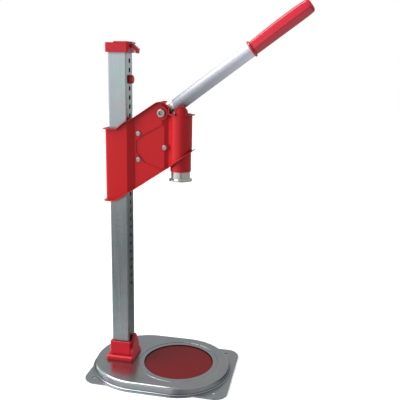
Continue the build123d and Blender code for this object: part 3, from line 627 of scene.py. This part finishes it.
# %% Half width of the lips
LIP_OUT = 3.7
SLEEVE_HALF_Y = 18.2
WEB_HALF_Y = 12.5
SKIN_R = 17.5
REAR_X = -119.0 - LIP_OUT
REAR_CORNER = 5.0 + LIP_OUT
FRONT_R = SKIN_R + LIP_OUT
FRONT_JOIN_Y = 12.6
# Distance from the ram's axis, and half width of the rim there, from the rear to the front.
PLAN = [
    (-114.0, SLEEVE_HALF_Y + LIP_OUT), (-81.6, SLEEVE_HALF_Y + LIP_OUT),
    (-70.1, WEB_HALF_Y + LIP_OUT), (-26.8, WEB_HALF_Y + LIP_OUT), (-17.3, FRONT_JOIN_Y),
]


def plan_y(x):
    """Half width of the lips' rim at a distance from the ram's axis."""
    if x < PLAN[0][0]:
        reach = max(REAR_CORNER ** 2 - (x - PLAN[0][0]) ** 2, 0.0)
        return PLAN[0][1] - REAR_CORNER + reach ** 0.5
    for (x0, y0), (x1, y1) in zip(PLAN, PLAN[1:]):
        if x <= x1:
            return y0 + (y1 - y0) * (x - x0) / (x1 - x0)
    return max(FRONT_R ** 2 - x ** 2, 0.0) ** 0.5


print("lip half widths", round(plan_y(-100.0), 1), round(plan_y(-50.0), 1), round(plan_y(0.0), 1))

# %% [markdown]
# ## The lips' side view
# Seen from the side, the upper edge rises from the sleeve over the pivot and falls to the front,
# and the lower edge climbs from the sleeve to the guide tube. Its corners are given as distance
# from the ram's axis and height over the bench. Round the front and the rear, where the plan
# bends most, the places follow from angles.

# %% Corners of the lips
LIP_INSET = 0.6
SLEEVE_TOP = 407.5
SLEEVE_BOTTOM = 291.5
FRONT_TOP = 432.0
APEX = (-30.2, 436.2)
APEX_R = 14.6
APEX_FROM = 122.4
APEX_TO = -14.0
CHEEK_START_X = -12.0
TOP_RUN = [(-99.0, SLEEVE_TOP), (-85.7, 418.5), (-73.8, 424.6)]
BOTTOM_RUN = [(-104.0, SLEEVE_BOTTOM), (-97.3, 295.0), (-15.0, 350.3)]
CLIMB_FROM = (-14.7, 350.3)
CLIMB_TO = (32.0, 385.5)
CLIMB_FIRST_X = 11.0
front_arc = [FRONT_R * cos(radians(a)) for a in (50, 40, 30, 20, 12, 5, 1)]
rear_arc = [PLAN[0][0] - REAR_CORNER * cos(radians(a)) for a in (0, 12, 25, 40, 60)]
print("lips from", round(rear_arc[0], 1), "to", round(front_arc[-1], 1), "mm from the ram's axis")

# %% [markdown]
# ## From corners to paths
# Straight runs get extra points, so that the bar can bend with the plan. The front shell's upper
# lip stops at its cheek over the ram, and the back shell's goes on round the front.

# %% Paths of the lips
LONGEST_RUN = 4.0


def arc(centre, radius, start, stop, steps=10):
    """Points of a side-view arc between two angles in degrees."""
    turns = [radians(start + (stop - start) * i / steps) for i in range(steps + 1)]
    return [(centre[0] + radius * cos(a), centre[1] + radius * sin(a)) for a in turns]


def fill_runs(points):
    """Adds points along the straight runs, so that the bar bends with the plan."""
    full = [points[0]]
    for (x0, z0), (x1, z1) in zip(points, points[1:]):
        parts = max(1, int(abs(x1 - x0) / LONGEST_RUN))
        full += [(x0 + (x1 - x0) * i / parts, z0 + (z1 - z0) * i / parts) for i in range(1, parts + 1)]
    return full


def top_path(has_cheek):
    """The upper edge of a shell in the side view, from the rear to the front."""
    points = [(x, SLEEVE_TOP - LIP_INSET) for x in rear_arc] + [(x, z - LIP_INSET) for x, z in TOP_RUN]
    points += arc(APEX, APEX_R - LIP_INSET, APEX_FROM, APEX_TO)
    ends = [CHEEK_START_X] if has_cheek else front_arc
    return fill_runs(points + [(x, FRONT_TOP - LIP_INSET) for x in ends])


def bottom_path():
    """The lower edge of a shell in the side view, from the rear to the front."""
    slope = (CLIMB_TO[1] - CLIMB_FROM[1]) / (CLIMB_TO[0] - CLIMB_FROM[0])
    points = [(x, SLEEVE_BOTTOM + LIP_INSET) for x in rear_arc] + [(x, z + LIP_INSET) for x, z in BOTTOM_RUN]
    climb = [(x, CLIMB_FROM[1] + (x - CLIMB_FROM[0]) * slope + LIP_INSET) for x in [CLIMB_FIRST_X] + front_arc]
    return fill_runs(points + climb)


print("lip paths of", len(top_path(True)), "and", len(bottom_path()), "points")

# %% [markdown]
# ## Roll the lips
# A path in the side view becomes a path in space with the plan's half width, to one side for the
# front shell and to the other for the back shell. Each lip starts at the seam behind the column.

# %% Roll the four lips
LIP_BAR_R = 0.75
SEAM_HALF_GAP = 0.3
SEAM_Y = (SEAM_HALF_GAP, 4.0, 8.0)
lip_tree = edge_tree("rolled_lip", enamel)
for name, side, path in (
    ("front_lip_top", -1, top_path(True)), ("front_lip_bottom", -1, bottom_path()),
    ("back_lip_top", 1, top_path(False)), ("back_lip_bottom", 1, bottom_path()),
):
    seam = [(RAM_X + REAR_X, side * y, path[0][1]) for y in SEAM_Y]
    rim = [(RAM_X + x, side * max(plan_y(x), SEAM_HALF_GAP), z) for x, z in path]
    roll_edge(name, "head", lip_tree, seam + rim, False, LIP_BAR_R)

# %% [markdown]
# ## Pieces built from rings
# The neck's shoulder and the grip both follow the lever. A Screw modifier turns round pieces only,
# and neither of the two is round, so they are drawn as rings of points that are joined to one
# skin. Both ends are closed, the faces are turned outwards, and edges sharper than a given angle
# stay sharp in the light.


# %% Join rings to a closed piece
def ringed_piece(name, rings, sharp_degrees, material):
    """A closed piece through rings of equally many points, given in metres."""
    count = len(rings[0])
    last = (len(rings) - 1) * count
    faces = [tuple(range(count))[::-1], tuple(last + i for i in range(count))]
    for first in range(0, last, count):
        for i in range(count):
            j = (i + 1) % count
            faces.append((first + i, first + j, first + count + j, first + count + i))
    mesh = bpy.data.meshes.new(name)
    mesh.from_pydata([point for ring in rings for point in ring], [], faces)
    shape = bmesh.new()
    shape.from_mesh(mesh)
    bmesh.ops.recalc_face_normals(shape, faces=shape.faces)
    for face in shape.faces:
        face.smooth = True
    for edge in shape.edges:
        edge.smooth = edge.calc_face_angle() <= radians(sharp_degrees)
    shape.to_mesh(mesh)
    shape.free()
    mesh.materials.append(material)
    print(name, len(mesh.polygons), "faces")
    return new_piece(name, mesh)


print("ring builder ready")

# %% [markdown]
# ## Shoulder of the lever's neck
# Between the webs the bright neck of the lever swells into a smooth shoulder before it enters the
# tube. Its rings follow a profile of radii along the lever, as on a lathe, and are flattened a
# little across so that it stays clear of both webs.

# %% Turn the shoulder
# Distance from the pivot along the lever, and radius.
SHOULDER = [
    (0.0, 6.0), (1.5, 7.4), (4.0, 8.3), (8.0, 8.8), (12.0, 8.9), (16.0, 8.4), (19.0, 7.6), (22.0, 6.7),
    (25.5, 6.0),
]
SHOULDER_TURNS = 40
SHOULDER_FLAT = 0.75
SHOULDER_OFFSET = 1.2
SHOULDER_SHARP = 40
shoulder_rings = []
for place, radius in SHOULDER:
    centre = pivot + along * place + over * SHOULDER_OFFSET
    turns = [2 * pi * i / SHOULDER_TURNS for i in range(SHOULDER_TURNS)]
    shoulder_rings.append([
        (centre + (over * cos(a) + across * SHOULDER_FLAT * sin(a)) * radius) * MM for a in turns
    ])
shoulder = ringed_piece("neck_shoulder", shoulder_rings, SHOULDER_SHARP, polished_steel)
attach(shoulder, "lever")

# %% [markdown]
# ## A CAD mesh that may be reshaped
# The CAD meshes arrive as loose triangles. A copy that is going to be changed is joined first, so
# that it stays closed. Joining smooths the light over bends, so edges that turn by more than a
# small angle are marked sharp.


# %% Copy and join a CAD mesh
CREASE = radians(11)
JOIN_MM = 0.001


def joined_copy(source):
    """A copy of a CAD node's mesh with its loose triangles joined, and its creases kept sharp."""
    mesh = source.data.copy()
    stored = mesh.attributes.get("custom_normal")
    if stored:
        mesh.attributes.remove(stored)
    shape = bmesh.new()
    shape.from_mesh(mesh)
    bmesh.ops.remove_doubles(shape, verts=shape.verts, dist=JOIN_MM * MM)
    for face in shape.faces:
        face.smooth = True
    for edge in shape.edges:
        edge.smooth = len(edge.link_faces) == 2 and edge.calc_face_angle() < CREASE
    open_edges = sum(len(edge.link_faces) != 2 for edge in shape.edges)
    shape.to_mesh(mesh)
    shape.free()
    print(source.name, "joined:", len(mesh.vertices), "points,", open_edges, "open edges")
    return mesh


print("joiner ready")

# %% [markdown]
# ## Mouth of the lever tube
# The tube starts where the shoulder narrows again, a few millimetres further out than the tube of
# the CAD model. A new tube could be drawn, but a copy keeps the rest as it is, and only the
# points of its open end are moved along the lever.

# %% Start the tube behind the shoulder
TUBE_START = 19.5
TUBE_SHIFT = 3.0
END_DEEP = 1.0
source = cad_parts["lever_tube"]
mesh = joined_copy(source)
place = source.matrix_world.copy()
shifted = 0
for vertex in mesh.vertices:
    point = place @ vertex.co
    if (point / MM - pivot).dot(along) < TUBE_START + END_DEEP:
        vertex.co = place.inverted() @ (point + along * TUBE_SHIFT * MM)
        shifted += 1
tube = new_piece("tube", mesh)
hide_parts("lever_tube")
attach(tube, "lever")
print(shifted, "points of the tube's end moved")

# %% [markdown]
# ## Rings of the grip
# The grip is moulded with six soft facets. A six-sided cylinder with a Bevel modifier comes
# close, but its facets stay flat, and these bulge by a quarter of a millimetre, as a moulding
# does. So each ring is the same hexagon with rounded corners, larger or smaller along the lever.
# The plug and the flange are plain circles with as many points.

# %% Draw the rings of the grip
GRIP_TURN = radians(14.0)
FACET_BULGE = 0.25
RING_POINTS = 60
HALF_CORNER = radians(30)


def round_ring(radius):
    """Points of a circle in the plane square to the lever, as (across, over) pairs."""
    turns = [2 * pi * i / RING_POINTS + GRIP_TURN for i in range(RING_POINTS)]
    return [(radius * cos(a), radius * sin(a)) for a in turns]


def facet_ring(corner, fillet):
    """A hexagon with rounded corners and slightly bulged facets: ten points to a corner."""
    points = []
    centre = corner - fillet / cos(HALF_CORNER)
    for k in range(6):
        way = radians(60 * k) + GRIP_TURN
        for turn in (-30, -20, -10, 0, 10, 20, 30):
            a = way + radians(turn)
            points.append((centre * cos(way) + fillet * cos(a), centre * sin(way) + fillet * sin(a)))
        start, following, out = points[-1], way + 2 * HALF_CORNER, way + HALF_CORNER
        stop = (centre * cos(following) + fillet * cos(out), centre * sin(following) + fillet * sin(out))
        for share in (0.25, 0.5, 0.75):
            bulge = FACET_BULGE * 4 * share * (1 - share)
            points.append((start[0] + (stop[0] - start[0]) * share + bulge * cos(out),
                           start[1] + (stop[1] - start[1]) * share + bulge * sin(out)))
    return points


print("points in a facet ring:", len(facet_ring(12.0, 3.0)))

# %% [markdown]
# ## Grip
# The rings run from the blind bore inside the plug out over the flange and along the facets to a
# rounded end. The back of the grip swells a little under the palm, and its underside stays nearly
# straight, so the rings are lifted towards the middle.

# %% Mould the grip
GRIP_OFFSET = -3.4
GRIP_LIFT = 0.7
GRIP_START = 167.6
GRIP_LONG = 102.0
GRIP_SHARP = 50
BORE_R = 6.5
PLUG_R = 9.38
FLANGE_R = 13.0
# Distance from the pivot along the lever, and radius: the bore, the plug and the flange.
PLUG_PROFILE = [
    (195.5, 2.0), (196.0, BORE_R - 0.5), (195.5, BORE_R), (136.0, BORE_R), (136.0, PLUG_R), (164.0, PLUG_R),
    (164.0, FLANGE_R - 0.7), (164.2, FLANGE_R - 0.2), (164.7, FLANGE_R), (166.6, FLANGE_R),
    (167.3, FLANGE_R - 0.3), (167.5, FLANGE_R - 0.9),
]
# Distance from the pivot along the lever, reach of the corners, and their rounding.
GRIP_PROFILE = [
    (GRIP_START, 11.55, 3.0), (168.4, 11.75, 3.0), (176.0, 12.0, 3.0), (188.0, 12.3, 3.0), (202.0, 12.6, 3.0),
    (218.0, 12.75, 3.0), (234.0, 12.75, 3.0), (248.0, 12.6, 3.0), (257.0, 12.35, 3.0), (262.0, 12.0, 3.2),
    (265.0, 11.6, 3.5), (266.8, 11.0, 3.9), (268.0, 10.1, 4.3), (268.8, 8.8, 4.5), (269.3, 7.0, 4.4),
    (269.5, 4.5, 3.2),
]
flat_rings = [(place, round_ring(radius)) for place, radius in PLUG_PROFILE]
flat_rings += [(place, facet_ring(corner, fillet)) for place, corner, fillet in GRIP_PROFILE]
grip_rings = []
for place, ring in flat_rings:
    swell = max(0.0, sin(pi * (place - GRIP_START) / GRIP_LONG)) * GRIP_LIFT
    centre = pivot + along * place + over * (GRIP_OFFSET + swell)
    grip_rings.append([(centre - across * u + over * v) * MM for u, v in ring])
grip = ringed_piece("soft_grip", grip_rings, GRIP_SHARP, grip_plastic)
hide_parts("lever_grip")
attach(grip, "lever")

# %% [markdown]
# ## Cheek of the front shell
# Round the cheek over the ram the lip of the front shell fades into the skin. A sculpting brush
# could push it in by hand, but a rule can be repeated: the lip's points there are drawn back
# towards the skin, which leaves a fine bead instead of a wide rim.

# %% Draw the lip in at the cheek
BEAD_R = SKIN_R + 0.7
FADE_FROM_Z = FRONT_TOP + 0.2
FADE_DEEP = 2.0
CHEEK_REAR_X = -9.0
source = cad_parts["head_shell_front"]
mesh = joined_copy(source)
drawn_in = 0
place = source.matrix_world.copy()
back_to_own = place.inverted()
for vertex in mesh.vertices:
    point = place @ vertex.co
    x, y, z = point.x / MM - RAM_X, point.y / MM, point.z / MM
    reach = (x * x + y * y) ** 0.5
    if z > FADE_FROM_Z and x > CHEEK_REAR_X and reach > BEAD_R:
        share = min((z - FRONT_TOP) / FADE_DEEP, 1.0)
        wanted = reach + (BEAD_R - reach) * share
        point.x = (RAM_X + x * wanted / reach) * MM
        point.y = y * wanted / reach * MM
        vertex.co = back_to_own @ point
        drawn_in += 1
cheeked = new_piece("front_shell", mesh)
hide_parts("head_shell_front")
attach(cheeked, "head")
print(drawn_in, "points of the lip drawn in")
